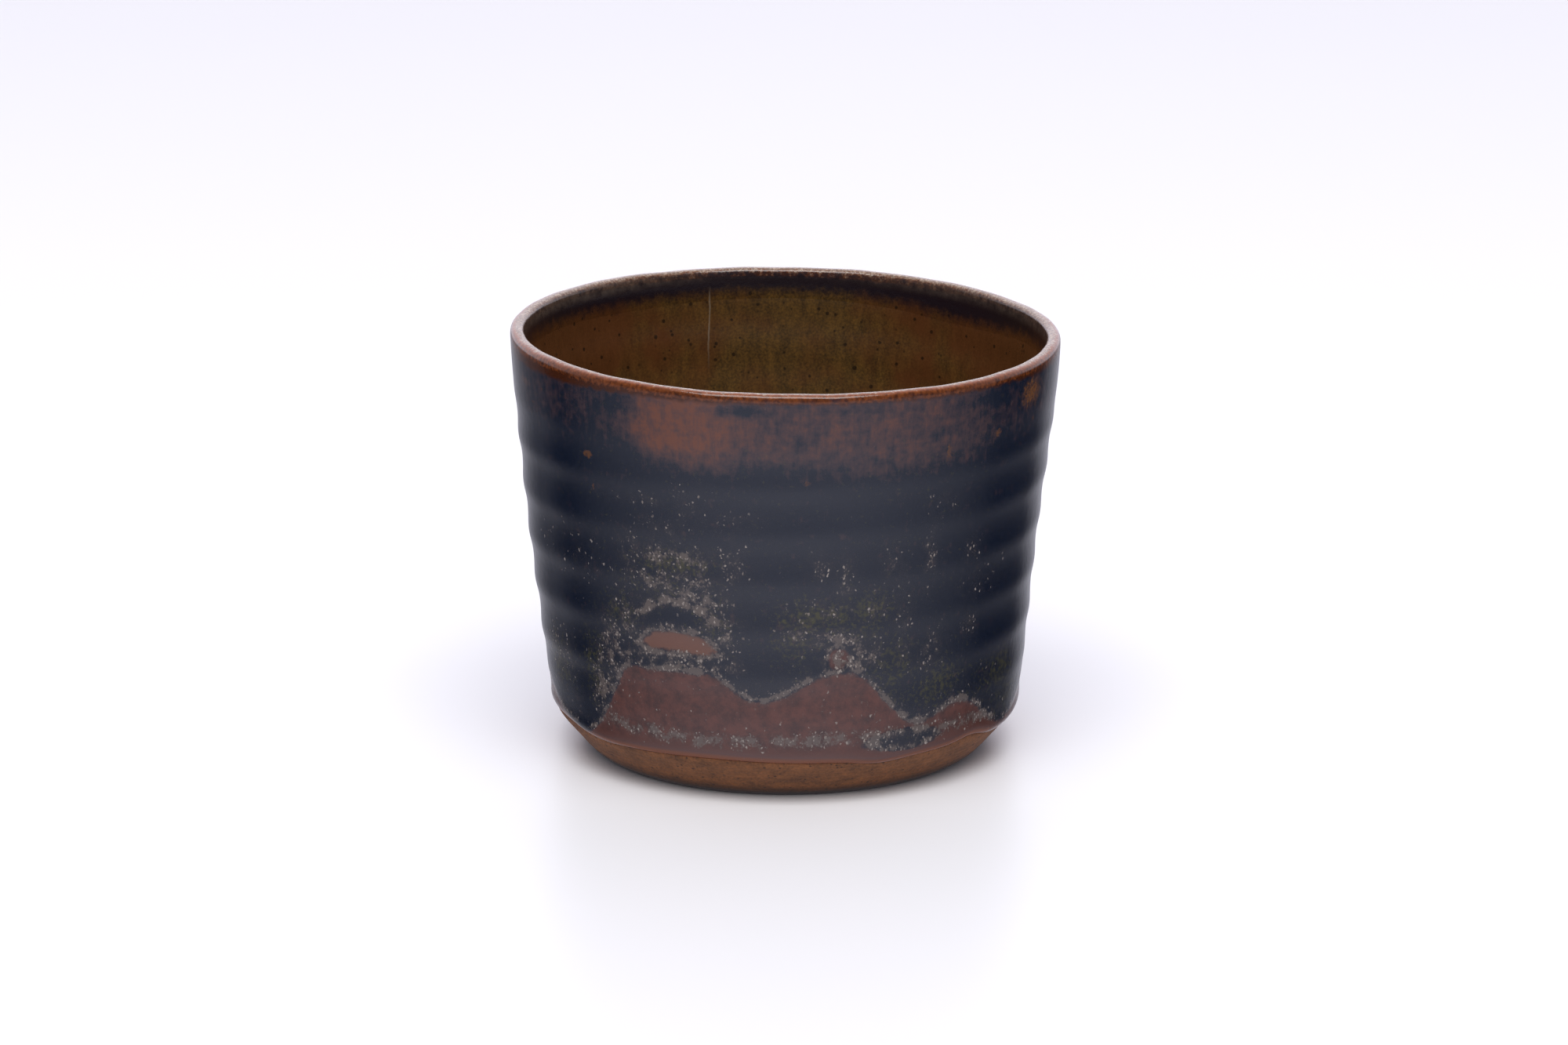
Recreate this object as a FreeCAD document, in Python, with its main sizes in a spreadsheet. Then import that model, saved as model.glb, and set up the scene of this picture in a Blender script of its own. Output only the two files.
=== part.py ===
import FreeCAD, Part
import math
import os
from collections import namedtuple

import Sketcher

# A small thrown stoneware sake cup: a straight, slightly flaring wall with faint throwing
# rings, a thin rounded lip, and a bevelled foot of bare clay.
# Millimetres, +Z up. The origin is the centre of the ring that the cup stands on.
#
# The cup is fired as one piece, in three layers, and each layer is a body of its own:
#   clay_body    the thrown and trimmed stoneware: floor, wall, lip and foot
#   liner_glaze  the glaze poured inside, from the floor up to the lip
#   outer_glaze  the dark glaze that the cup was dipped in: the outside wall from the foot's
#                bevel up, over the lip, and a short lap down inside, over the liner
# Neighbouring layers are drawn with the same expressions, so they meet face to face.

DIMENSIONS = [
    # the form as a hand feels it, glaze included
    ("cup_height", 56.0),
    ("rim_diameter", 72.4),
    ("lip_thickness", 1.9),
    ("shoulder_diameter", 62.6),
    ("shoulder_height", 8.0),
    ("outer_lean", 6.2),           # degrees from upright, outside
    ("inner_lean", 8.0),           # degrees from upright, inside: the wall thickens downwards
    ("floor_height", 5.2),         # top of the floor inside the cup
    ("floor_curve", 9.0),          # radius where the inside wall runs into the floor
    # the trimmed foot
    ("foot_diameter", 52.0),
    ("foot_ring_width", 5.5),
    ("foot_recess", 1.2),
    ("recess_draft", 0.8),         # how far the recess closes in towards its top
    ("bevel_lean", 40.5),          # degrees from upright
    ("shoulder_curve", 1.0),       # radius where the bevel runs into the wall
    # the throwing rings
    ("first_ring", 14.5),          # height of the lowest valley
    ("ring_pitch", 6.5),
    ("ring_depth", 0.2),
    # the glazes
    ("outer_glaze", 0.4),
    ("liner_glaze", 0.3),
    ("lap_glaze", 0.2),            # the outer glaze where it laps over the liner
    ("lap_length", 4.0),
    ("glaze_line", 4.8),           # height at which the outer glaze stops on the bevel
    ("roll_height", 7.4),          # top of the thick roll of glaze above that line
    ("roll_curve", 2.4),
]

RING_COUNT = 5

# An outline is a list of corners. An Arc between two corners curves the edge between them, to
# the left or the right of the way that the outline is drawn. Every size is an expression.
Corner = namedtuple("Corner", "radius height")
Arc = namedtuple("Arc", "side radius")

RIM_RADIUS = "dims.rim_diameter / 2"
FOOT_RADIUS = "dims.foot_diameter / 2"
CROWN_RADIUS = "dims.lip_thickness / 2"
CROWN_HEIGHT = "(dims.cup_height - dims.lip_thickness / 2)"
CLAY_LIP = "(dims.lip_thickness - dims.outer_glaze - dims.liner_glaze - dims.lap_glaze)"
OUTER_LEAN = "dims.outer_lean * 1deg"
INNER_LEAN = "dims.inner_lean * 1deg"
BEVEL_LEAN = "dims.bevel_lean * 1deg"


def make_sheet(doc):
    """Put the driving dimensions in a spreadsheet, one named cell each."""
    sheet = doc.addObject("Spreadsheet::Sheet", "dims")
    for row, (alias, value) in enumerate(DIMENSIONS, start=1):
        sheet.set(f"A{row}", alias)
        sheet.set(f"B{row}", str(value))
        sheet.setAlias(f"B{row}", alias)
    doc.recompute()
    return sheet


def backwards(path):
    """The same outline drawn the other way, so what bulged left now bulges right."""
    other_side = {"left": "right", "right": "left"}
    return [Arc(other_side[step.side], step.radius) if isinstance(step, Arc) else step
            for step in reversed(path)]


# ---------------------------------------------------------------- outlines of the outside

def outer_radius(height, depth):
    """Radius of the outside wall at a height, a given depth under the glaze's surface."""
    rise = f"({height} - dims.shoulder_height)"
    return f"dims.shoulder_diameter / 2 + {rise} * tan({OUTER_LEAN}) - {depth}"


def outer_wall(depth):
    """The outside wall from the lowest ring up to where the lip's crown begins.

    Each throwing ring is a shallow arc between two valleys, and a last long arc turns the
    leaning wall upright at the lip."""
    path = []
    chord = f"dims.ring_pitch / cos({OUTER_LEAN})"
    ring_curve = f"({chord})^2 / (8 * dims.ring_depth) + dims.ring_depth / 2"
    for ring in range(RING_COUNT + 1):
        height = f"(dims.first_ring + {ring} * dims.ring_pitch)"
        path.append(Corner(outer_radius(height, depth), height))
        if ring < RING_COUNT:
            path.append(Arc("right", ring_curve))

    overhang = f"({RIM_RADIUS} - dims.shoulder_diameter / 2)"
    turn_height = f"(dims.shoulder_height + {overhang} / tan({OUTER_LEAN}))"
    turn_length = f"({CROWN_HEIGHT} - {turn_height})"
    path.append(Corner(f"{RIM_RADIUS} - {depth} - {turn_length} * sin({OUTER_LEAN})",
                       f"{turn_height} - {turn_length} * cos({OUTER_LEAN})"))
    path.append(Arc("right", f"{turn_length} / tan({OUTER_LEAN} / 2)"))
    path.append(Corner(f"{RIM_RADIUS} - {depth}", CROWN_HEIGHT))
    return path


def crown(outside, thickness):
    """The rounded top of the lip, from its outside to its inside, as two quarter rounds."""
    half = f"({thickness}) / 2"
    return [
        Corner(outside, CROWN_HEIGHT),
        Arc("right", half),
        Corner(f"{outside} - {half}", f"{CROWN_HEIGHT} + {half}"),
        Arc("right", half),
        Corner(f"{outside} - {thickness}", CROWN_HEIGHT),
    ]


def bevel_to_wall():
    """The clay where the foot's bevel runs into the wall, from the bevel up."""
    rise = f"(tan({BEVEL_LEAN}) - tan({OUTER_LEAN}))"
    reach = f"({outer_radius('0', 'dims.outer_glaze')} - {FOOT_RADIUS})"
    meet_height = f"({reach} / {rise})"
    meet_radius = f"({FOOT_RADIUS} + {meet_height} * tan({BEVEL_LEAN}))"
    cut = f"(dims.shoulder_curve * tan(({BEVEL_LEAN} - {OUTER_LEAN}) / 2))"
    return [
        Corner(f"{meet_radius} - {cut} * sin({BEVEL_LEAN})",
               f"{meet_height} - {cut} * cos({BEVEL_LEAN})"),
        Arc("right", "dims.shoulder_curve"),
        Corner(f"{meet_radius} + {cut} * sin({OUTER_LEAN})",
               f"{meet_height} + {cut} * cos({OUTER_LEAN})"),
    ]


# ----------------------------------------------------------------- outlines of the inside

def inner_radius(height, depth):
    """Radius of the inside wall at a height, a given depth under the lap's surface."""
    drop = f"({CROWN_HEIGHT} - {height})"
    return f"{RIM_RADIUS} - dims.lip_thickness - {drop} * tan({INNER_LEAN}) + {depth}"


def inner_wall(depth, floor):
    """The inside from the lip down the wall, round the floor's curve and in to the axis."""
    cut = f"(dims.floor_curve * tan(45deg - {INNER_LEAN} / 2))"
    foot_of_wall = inner_radius(floor, depth)
    return [
        Corner(inner_radius(CROWN_HEIGHT, depth), CROWN_HEIGHT),
        Corner(f"{foot_of_wall} + {cut} * sin({INNER_LEAN})",
               f"{floor} + {cut} * cos({INNER_LEAN})"),
        Arc("left", "dims.floor_curve"),
        Corner(f"{foot_of_wall} - {cut}", floor),
        Corner("0", floor),
    ]


# ------------------------------------------------------------------------ sketch and body

def edge_between(start, end, arc, radius):
    """A straight edge, or an arc of the given radius that bulges to one side."""
    if arc is None:
        return Part.LineSegment(start, end)
    along = end - start
    half_chord = along.Length / 2
    sag = radius - math.sqrt(radius ** 2 - half_chord ** 2)
    left = FreeCAD.Vector(-along.y, along.x, 0).normalize()
    bulge = left * sag if arc.side == "left" else left * -sag
    return Part.Arc(start, (start + end) / 2 + bulge, end)


def point_number(sketch, edge, point):
    """1 or 2, whichever end of the edge this point is: an arc may be stored end to start."""
    return 1 if sketch.getPoint(edge, 1).distanceToPoint(point) < 1e-6 else 2


def fix_size(sketch, constraint, expression):
    """Add a constraint and bind its value to the sheet."""
    index = sketch.addConstraint(constraint)
    sketch.setExpression(f"Constraints[{index}]", expression)


def fix_corner(sketch, edge, end, corner, point):
    """Hold one end of an edge at its radius and height."""
    if corner.radius == "0":
        sketch.addConstraint(Sketcher.Constraint("PointOnObject", edge, end, -2))
    else:
        across = Sketcher.Constraint("DistanceX", -1, 1, edge, end, point.x)
        fix_size(sketch, across, corner.radius)
    if corner.height == "0":
        sketch.addConstraint(Sketcher.Constraint("PointOnObject", edge, end, -1))
    else:
        up = Sketcher.Constraint("DistanceY", -1, 1, edge, end, point.y)
        fix_size(sketch, up, corner.height)


def draw_outline(sketch, path):
    """Draw a closed outline in a sketch and bind every corner and arc to the sheet."""
    corners = [step for step in path if isinstance(step, Corner)]
    arc_after = {}
    for step, following in zip(path, path[1:] + path[:1]):
        if isinstance(following, Arc):
            arc_after[step] = following

    def size(expression):
        return float(sketch.evalExpression(expression))

    points = [FreeCAD.Vector(size(corner.radius), size(corner.height), 0) for corner in corners]
    ends = []
    for number, corner in enumerate(corners):
        start = points[number]
        end = points[(number + 1) % len(points)]
        arc = arc_after.get(corner)
        radius = size(arc.radius) if arc else None
        edge = sketch.addGeometry(edge_between(start, end, arc, radius), False)
        ends.append((point_number(sketch, edge, start), point_number(sketch, edge, end)))
        if arc:
            fix_size(sketch, Sketcher.Constraint("Radius", edge, radius), arc.radius)
    for number, corner in enumerate(corners):
        fix_corner(sketch, number, ends[number][0], corner, points[number])
        before = (number - 1) % len(corners)
        meeting = (before, ends[before][1], number, ends[number][0])
        sketch.addConstraint(Sketcher.Constraint("Coincident", *meeting))


def section_sketch(body, name, path):
    """A half section of the body, in the upright plane through the axis."""
    sketch = body.newObject("Sketcher::SketchObject", name)
    planes = [plane for plane in body.Origin.OriginFeatures if plane.Role == "XZ_Plane"]
    sketch.AttachmentSupport = [(planes[0], "")]
    sketch.MapMode = "FlatFace"
    draw_outline(sketch, path)
    return sketch


def spin(body, kind, name, sketch):
    """Turn a half section about the cup's axis: a Revolution adds and a Groove cuts."""
    feature = body.newObject(f"PartDesign::{kind}", name)
    feature.Profile = sketch
    feature.ReferenceAxis = (sketch, ["V_Axis"])
    feature.Angle = 360
    sketch.Visibility = False
    body.Tip = feature
    body.Document.recompute()
    return feature


def new_body(doc, label):
    """An empty body that stands at the origin and carries the node's name."""
    body = doc.addObject("PartDesign::Body", label)
    body.Label = label
    body.Placement = FreeCAD.Placement()
    return body


# ------------------------------------------------------------------------------ the layers

def make_clay_body(doc):
    """The stoneware itself: thrown as one form, then trimmed hollow under the foot."""
    body = new_body(doc, "clay_body")
    outside = f"{RIM_RADIUS} - dims.outer_glaze"
    clay_floor = "(dims.floor_height - dims.liner_glaze)"
    thrown = [Corner("0", "0"), Corner(FOOT_RADIUS, "0")]
    thrown += bevel_to_wall()
    thrown += outer_wall("dims.outer_glaze")
    thrown += crown(outside, CLAY_LIP)[1:-1]
    thrown += inner_wall("dims.liner_glaze + dims.lap_glaze", clay_floor)
    spin(body, "Revolution", "thrown_form", section_sketch(body, "thrown_section", thrown))
    solid_foot = body.Shape.Volume

    ring_inside = f"{FOOT_RADIUS} - dims.foot_ring_width"
    recess = [
        Corner("0", "0"),
        Corner(ring_inside, "0"),
        Corner(f"{ring_inside} - dims.recess_draft", "dims.foot_recess"),
        Corner("0", "dims.foot_recess"),
    ]
    spin(body, "Groove", "trimmed_recess", section_sketch(body, "recess_section", recess))
    if body.Shape.Volume >= solid_foot:
        raise RuntimeError("the recess under the foot was not cut")
    return body


def make_liner_glaze(doc):
    """The glaze poured inside: an even coat on the floor and wall, up to the lip."""
    body = new_body(doc, "liner_glaze")
    clay_floor = "(dims.floor_height - dims.liner_glaze)"
    coat = inner_wall("dims.liner_glaze + dims.lap_glaze", clay_floor)
    coat += backwards(inner_wall("dims.lap_glaze", "dims.floor_height"))
    spin(body, "Revolution", "poured_coat", section_sketch(body, "coat_section", coat))
    return body


def make_outer_glaze(doc):
    """The dipped glaze: it ends in a thick roll on the bevel and laps over the liner."""
    body = new_body(doc, "outer_glaze")
    lap_end = f"({CROWN_HEIGHT} - dims.lap_length)"
    glaze_line = Corner(f"{FOOT_RADIUS} + dims.glaze_line * tan({BEVEL_LEAN})", "dims.glaze_line")
    on_clay = bevel_to_wall() + outer_wall("dims.outer_glaze")
    on_clay += crown(f"{RIM_RADIUS} - dims.outer_glaze", CLAY_LIP)[1:]
    lap = [
        Corner(inner_radius(CROWN_HEIGHT, "dims.lap_glaze"), CROWN_HEIGHT),
        Corner(inner_radius(lap_end, "dims.lap_glaze"), lap_end),
        Corner(inner_radius(lap_end, "0"), lap_end),
    ]
    surface = backwards(crown(RIM_RADIUS, "dims.lip_thickness"))
    surface += backwards(outer_wall("0"))[1:]
    roll = [Corner(outer_radius("dims.roll_height", "0"), "dims.roll_height"),
            Arc("left", "dims.roll_curve")]
    coat = [glaze_line] + on_clay + lap + surface + roll
    spin(body, "Revolution", "dipped_coat", section_sketch(body, "coat_section", coat))
    return body


# ------------------------------------------------------------------------ check and export

def check(doc, bodies):
    """Stop if any object failed, or if a layer isn't one sound solid."""
    for item in doc.Objects:
        if "Invalid" in item.State or "Error" in item.State:
            raise RuntimeError(f"{item.Name} failed: {item.State}")
    for body in bodies:
        shape = body.Shape
        if shape.isNull() or not shape.isValid() or len(shape.Solids) != 1:
            raise RuntimeError(f"{body.Label} isn't one sound solid")


def export(bodies):
    """Write each layer to a file of its own."""
    os.makedirs("parts", exist_ok=True)
    for body in bodies:
        body.Shape.exportStep(f"parts/{body.Label}.step")
        box = body.Shape.optimalBoundingBox()
        centimetres = body.Shape.Volume / 1000
        print(f"{body.Label}: {box.XLength:.2f} x {box.YLength:.2f} x {box.ZLength:.2f} mm,"
              f" z {box.ZMin:.2f} to {box.ZMax:.2f}, {centimetres:.2f} cm3")


def main():
    doc = FreeCAD.newDocument("sake_cup")
    make_sheet(doc)
    bodies = [make_clay_body(doc), make_liner_glaze(doc), make_outer_glaze(doc)]
    doc.recompute()
    check(doc, bodies)
    export(bodies)


main()
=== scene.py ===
# %% [markdown]
# # A small thrown sake cup
# The cup is one fired piece in three layers: the stoneware itself, an amber glaze poured
# inside, and a dark iron glaze that the whole cup was dipped in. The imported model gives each
# layer's size and place. This script turns the same layers again as dense meshes, because the
# spiral ridge, the roll of glaze at the foot and the pooled pattern are too fine and too uneven
# for plain revolved solids, and it gives each layer the finish that its making leaves.

# %% Load the frame
import functools
import math

import bmesh
import bpy
import numpy as np
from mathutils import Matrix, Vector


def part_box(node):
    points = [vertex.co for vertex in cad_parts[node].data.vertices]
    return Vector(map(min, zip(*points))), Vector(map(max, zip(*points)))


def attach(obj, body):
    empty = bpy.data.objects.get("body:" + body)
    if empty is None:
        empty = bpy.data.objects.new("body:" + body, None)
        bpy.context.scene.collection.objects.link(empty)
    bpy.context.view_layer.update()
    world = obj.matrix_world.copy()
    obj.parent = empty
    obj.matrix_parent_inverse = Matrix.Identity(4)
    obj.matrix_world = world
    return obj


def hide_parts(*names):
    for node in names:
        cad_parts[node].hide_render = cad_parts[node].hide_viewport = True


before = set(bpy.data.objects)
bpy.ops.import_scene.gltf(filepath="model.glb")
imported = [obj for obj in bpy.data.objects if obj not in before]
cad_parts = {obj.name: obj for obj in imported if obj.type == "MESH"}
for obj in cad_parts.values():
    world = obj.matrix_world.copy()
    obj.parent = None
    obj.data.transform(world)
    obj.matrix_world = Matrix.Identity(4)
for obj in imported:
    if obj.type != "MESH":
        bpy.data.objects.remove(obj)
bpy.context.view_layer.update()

MM = 0.001
print("CAD nodes:", sorted(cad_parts))

# %% [markdown]
# ## Sizes
# Every height and radius below is in millimetres and starts from the boxes of the packed
# layers, so the looks can't drift from the design. Only what a box can't tell, such as the
# lean of the wall, is given as a number of its own.

# %% Read the driving sizes from the layers' boxes
glaze_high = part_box("outer_glaze")[1]
liner_low, liner_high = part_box("liner_glaze")
clay_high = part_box("clay_body")[1]

RIM_RADIUS = glaze_high.x / MM
CUP_HEIGHT = glaze_high.z / MM
CROWN_HEIGHT = liner_high.z / MM
LIP_HALF = CUP_HEIGHT - CROWN_HEIGHT
CLAY_FLOOR = liner_low.z / MM
OUTER_GLAZE = (glaze_high.x - clay_high.x) / MM
LINER_GLAZE = 0.3
LAP_GLAZE = 0.2
FOOT_RADIUS = 26.0
FOOT_RING_WIDTH = 5.5
FOOT_RECESS = 1.2
SHOULDER_RADIUS = 31.3
SHOULDER_HEIGHT = 8.0
OUTER_SLOPE = math.tan(math.radians(6.2))
INNER_SLOPE = math.tan(math.radians(8.0))
BEVEL_SLOPE = math.tan(math.radians(40.5))
FLOOR_CURVE = 9.0
print(f"rim radius {RIM_RADIUS:.2f}, height {CUP_HEIGHT:.2f}, crown at {CROWN_HEIGHT:.2f} mm")

# %% [markdown]
# ## A grid of turns and heights
# A thrown form is nearly a surface of revolution, so each layer is a stack of rings with the
# same number of points. A point is known by its turn, which is 0 at the front and grows towards
# +X, and by its height. A screw modifier would do this for a true revolution, but the ridge is a
# spiral and the rim leans a little, so the rings are placed by formula instead.

# %% Helpers for smooth shapes
AROUND = 432
turn = np.linspace(-math.pi, math.pi, AROUND, endpoint=False)
degrees = np.degrees(turn)
print(f"{AROUND} points round each ring, {2 * math.pi * RIM_RADIUS / AROUND:.2f} mm apart at the rim")


def smoothstep(value, low, high):
    """0 below low, 1 above high, and an even slope between them."""
    share = np.clip((value - low) / (high - low), 0.0, 1.0)
    return share * share * (3 - 2 * share)


def bell(value, centre, width):
    """1 at the centre, falling off over the width on both sides."""
    return np.exp(-((value - centre) / width) ** 2)


def soft_minimum(first, second, radius):
    """The smaller of two values, rounded where they cross."""
    share = np.clip(0.5 + 0.5 * (second - first) / radius, 0.0, 1.0)
    return second + (first - second) * share - radius * share * (1 - share)


def around_curve(points):
    """A smooth closed curve through (degrees, value) points, as a function of degrees."""
    angles = np.array([point[0] for point in points], float)
    values = np.array([point[1] for point in points], float)
    angles = np.concatenate([angles[-2:] - 360, angles, angles[:2] + 360])
    values = np.concatenate([values[-2:], values, values[:2]])
    slopes = np.gradient(values, angles)

    def curve(at):
        place = np.clip(np.searchsorted(angles, at, side="right") - 1, 0, len(angles) - 2)
        span = angles[place + 1] - angles[place]
        t = (at - angles[place]) / span
        ahead = t * t * (3 - 2 * t)
        start_slope = t * (1 - t) ** 2 * span * slopes[place]
        end_slope = t * t * (t - 1) * span * slopes[place + 1]
        return values[place] + (values[place + 1] - values[place]) * ahead + start_slope + end_slope

    return curve


# %% [markdown]
# ## The outside of the clay
# The wall leans out evenly from the foot's bevel to the rim. The potter's finger left one
# shallow ridge that climbs a whole pitch in each turn, so it looks like level rings that
# step. The bevel was cut with a trimming tool after throwing.

# %% The finger's spiral ridge
RIDGE_PITCH = 6.5
RIDGE_FIRST_CREST = 17.75
RIDGE_DEPTH = 0.105
RIDGE_STARTS = (9.0, 16.0)
RIDGE_FADES = (42.0, 51.0)
RIDGE_SHARPENED = 0.12
FINGER_WAVE = 0.05


def ridge(angle, height):
    """How far the finger's spiral ridge stands out."""
    phase = 2 * math.pi * (height - RIDGE_FIRST_CREST) / RIDGE_PITCH - angle
    strength = smoothstep(height, *RIDGE_STARTS) * (1 - smoothstep(height, *RIDGE_FADES))
    deeper_left = 1 - 0.1 * np.sin(angle)
    return RIDGE_DEPTH * deeper_left * strength * (np.cos(phase) + RIDGE_SHARPENED * np.cos(2 * phase + 0.6))


def finger_wave(angle, height):
    """The faint groove that the finger inside left, a spiral like the one outside."""
    return FINGER_WAVE * np.cos(2 * math.pi * height / RIDGE_PITCH - angle)


# %% The wall and the bevel
LEAN = 0.63
LEFT_SWELL = 0.28
SWELL_HEIGHT = 29.0
SWELL_REACH = 13.0
OUT_OF_ROUND = 0.05
RIM_ROUNDING = 0.6
SHOULDER_ROUNDING = 0.5


def clay_outside(angle, height):
    """Radius of the clay's outside at a turn and a height."""
    wall = SHOULDER_RADIUS - OUTER_GLAZE + (height - SHOULDER_HEIGHT) * OUTER_SLOPE
    swell = LEFT_SWELL * np.sin(-angle) * bell(height, SWELL_HEIGHT, SWELL_REACH)
    wall = wall + ridge(angle, height) + swell + OUT_OF_ROUND * np.sin(3 * angle + 1.0)
    bevel = FOOT_RADIUS + height * BEVEL_SLOPE
    wall = soft_minimum(wall, RIM_RADIUS - OUTER_GLAZE, RIM_ROUNDING)
    return soft_minimum(wall, bevel, SHOULDER_ROUNDING)


def inner_surface(height):
    """Radius of the liner's surface on the inside wall."""
    drop = CROWN_HEIGHT - height
    return RIM_RADIUS - 2 * LIP_HALF + LAP_GLAZE - drop * INNER_SLOPE


middle = clay_outside(0.0, CUP_HEIGHT / 2) - inner_surface(CUP_HEIGHT / 2)
print(f"wall between the glazes at half height: {middle - LINER_GLAZE:.2f} mm")


# %% [markdown]
# ## Where the dark glaze is thin and thick
# An iron glaze is blue-black where it lies thick and breaks to rust where it is thin, and pale
# crystals grow along the boundary. So the pattern is drawn once, as fields over turn and height,
# and the same fields thicken the mesh and colour the glaze. The edge of the rust ground near
# the foot is a row of hills, given as a few points of (degrees, height).

# %% The glaze line and the hills of the rust ground
GLAZE_LINE_POINTS = [
    (-175, 5.4), (-140, 6.0), (-105, 5.1), (-66, 5.9), (-52, 5.2), (-38, 5.5), (-19, 5.9),
    (2, 5.7), (14, 5.5), (23, 4.9), (33, 5.3), (44, 5.6), (51, 6.0), (62, 5.0), (95, 5.8),
    (130, 5.2), (160, 5.9),
]
HILL_POINTS = [
    (-168, 17.0), (-150, 14.5), (-132, 9.0), (-112, 12.5), (-96, 10.0), (-80, 9.6), (-71, 7.6),
    (-64, 6.4), (-54, 6.4), (-48, 9.6), (-44, 13.2), (-40, 16.6), (-33, 17.4), (-24, 17.6),
    (-15, 17.1), (-11, 15.2), (-6, 14.2), (0, 15.2), (7, 17.6), (12, 18.2), (18, 17.4),
    (23, 14.2), (28, 11.4), (32, 10.0), (38, 10.8), (45, 11.9), (50, 10.9), (56, 8.4),
    (62, 6.6), (70, 6.6), (84, 9.5), (98, 15.0), (112, 17.2), (126, 13.0), (138, 9.2),
    (152, 11.0), (166, 15.8), (178, 17.4),
]
glaze_line = around_curve(GLAZE_LINE_POINTS)
hill_edge = around_curve(HILL_POINTS)
print(f"glaze line {glaze_line(degrees).min():.1f} to {glaze_line(degrees).max():.1f} mm up")
print(f"rust hills up to {hill_edge(degrees).max():.1f} mm")


# %% [markdown]
# Crystals, olive flecks and rust spots lie in loose groups, with no edge to draw. Each group is a
# soft oval patch, given by its middle, its half width in degrees, its half height and its
# strength. All but the rust spots are used once more round the back, mirrored and shifted.

# %% Soft patches
def patches(places, angle_degrees, height):
    """The strongest of several soft oval patches of (degrees, mm, half width, half height, strength)."""
    strongest = np.zeros(np.broadcast(angle_degrees, height).shape)
    for centre, middle, half_degrees, half_height, strength in places:
        away = (angle_degrees - centre + 180) % 360 - 180
        oval = np.exp(-(away / half_degrees) ** 2 - ((height - middle) / half_height) ** 2)
        strongest = np.maximum(strongest, strength * oval)
    return strongest


def mirrored(places, shift):
    """The same patches again round the back, mirrored so that they don't look copied."""
    return [((shift - place[0]) % 360, *place[1:]) for place in places]


# %% Where the patches lie
BACK_SHIFT = 148
CRYSTAL_PATCHES = [
    (-26, 30.0, 12, 2.6, 0.75), (-22, 28.0, 9, 1.3, 1.10), (-25, 33.2, 10, 1.8, 0.90),
    (-27, 37.0, 7, 2.0, 0.36), (-20, 40.5, 5, 3.5, 0.24), (-38, 24.0, 5, 3.5, 0.60),
    (-43, 19.0, 4, 5.0, 0.90), (-48, 13.5, 4, 5.0, 0.95), (-15, 23.5, 5, 3.5, 0.70),
    (-12, 33.0, 4, 4.0, 0.40), (-10, 39.0, 5, 1.5, 0.24), (-55, 31.0, 14, 5.0, 0.20),
    (-66, 16.0, 9, 3.5, 0.45), (-36, 33.0, 4, 4.0, 0.40), (-31, 40.5, 10, 1.0, 0.30),
    (12, 22.8, 5, 1.4, 1.20), (17, 20.0, 5, 3.0, 0.90), (10, 27.0, 10, 1.6, 0.45),
    (13, 30.5, 2.5, 3.5, 0.55), (20, 27.0, 4, 2.0, 0.50), (24, 32.5, 3, 3.0, 0.40),
    (4, 23.5, 5, 2.0, 0.55), (27, 26.0, 2.5, 5.0, 0.44), (33, 33.0, 2, 4.0, 0.50),
    (35, 20.0, 4, 3.0, 0.50), (46, 33.0, 3, 2.0, 0.38), (47, 22.5, 2.5, 1.8, 0.55),
    (8, 33.0, 3, 2.0, 0.40), (36, 40.0, 5, 2.0, 0.24), (50, 28.0, 8, 3.0, 0.24),
    (56, 14.0, 6, 2.0, 0.20), (12, 18.0, 9, 3.0, 0.20), (28, 20.0, 3, 4.0, 0.35),
]
OLIVE_PATCHES = [
    (-25, 32.6, 9, 1.6, 0.9), (-27, 29.0, 12, 2.5, 0.45), (-40, 24.5, 6, 3.0, 0.6),
    (-16, 24.5, 5, 3.0, 0.5), (-50, 16.0, 5, 6.0, 0.6), (-69, 14.0, 9, 4.5, 0.7),
    (7, 26.0, 9, 2.5, 0.85), (2, 22.5, 6, 3.5, 0.55), (19, 27.0, 6, 2.5, 0.7),
    (25, 18.0, 6, 5.0, 0.6), (38, 15.0, 9, 3.0, 0.75), (62, 14.0, 12, 3.5, 0.7),
    (68, 10.0, 10, 3.0, 0.6), (16, 24.0, 9, 2.0, 0.5),
]
RUST_SPOTS = [
    (-46, 45.1, 1.5, 0.55, 1.0), (-45, 40.7, 0.8, 0.9, 0.6), (4.5, 44.4, 0.9, 0.5, 0.7),
    (50, 48.3, 1.2, 0.6, 0.8), (-66, 49.3, 1.0, 0.5, 0.6), (-61, 51.6, 1.0, 0.6, 0.5),
    (36, 47.0, 1.2, 1.6, 0.6), (62, 52.2, 5.5, 2.4, 0.78), (64, 48.6, 1.6, 1.0, 0.5),
    (-70, 51.5, 4.0, 0.8, 0.5), (118, 44.0, 1.4, 0.6, 0.8), (-134, 46.5, 1.2, 0.7, 0.8),
]
NAVY_PATCHES = [
    (-9, 53.7, 5.0, 0.7, 1.0), (49, 53.0, 5.5, 1.5, 1.0), (33, 49.8, 3.0, 0.9, 0.6),
    (3, 50.0, 1.6, 1.0, 0.5), (-38, 53.0, 6.0, 1.2, 0.7), (20, 47.2, 5.0, 0.8, 0.35),
    (12, 53.9, 8.0, 0.5, 0.45),
]
for places in (CRYSTAL_PATCHES, OLIVE_PATCHES, NAVY_PATCHES):
    places += mirrored(places, BACK_SHIFT)
print(f"{len(CRYSTAL_PATCHES)} crystal patches, {len(OLIVE_PATCHES)} olive, {len(RUST_SPOTS)} rust spots")

# %% [markdown]
# The red-brown band under the lip is strong where the glaze drained thinnest. Two curves round
# the cup say how strong it is and how far down it comes, and the navy patches break it.

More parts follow.
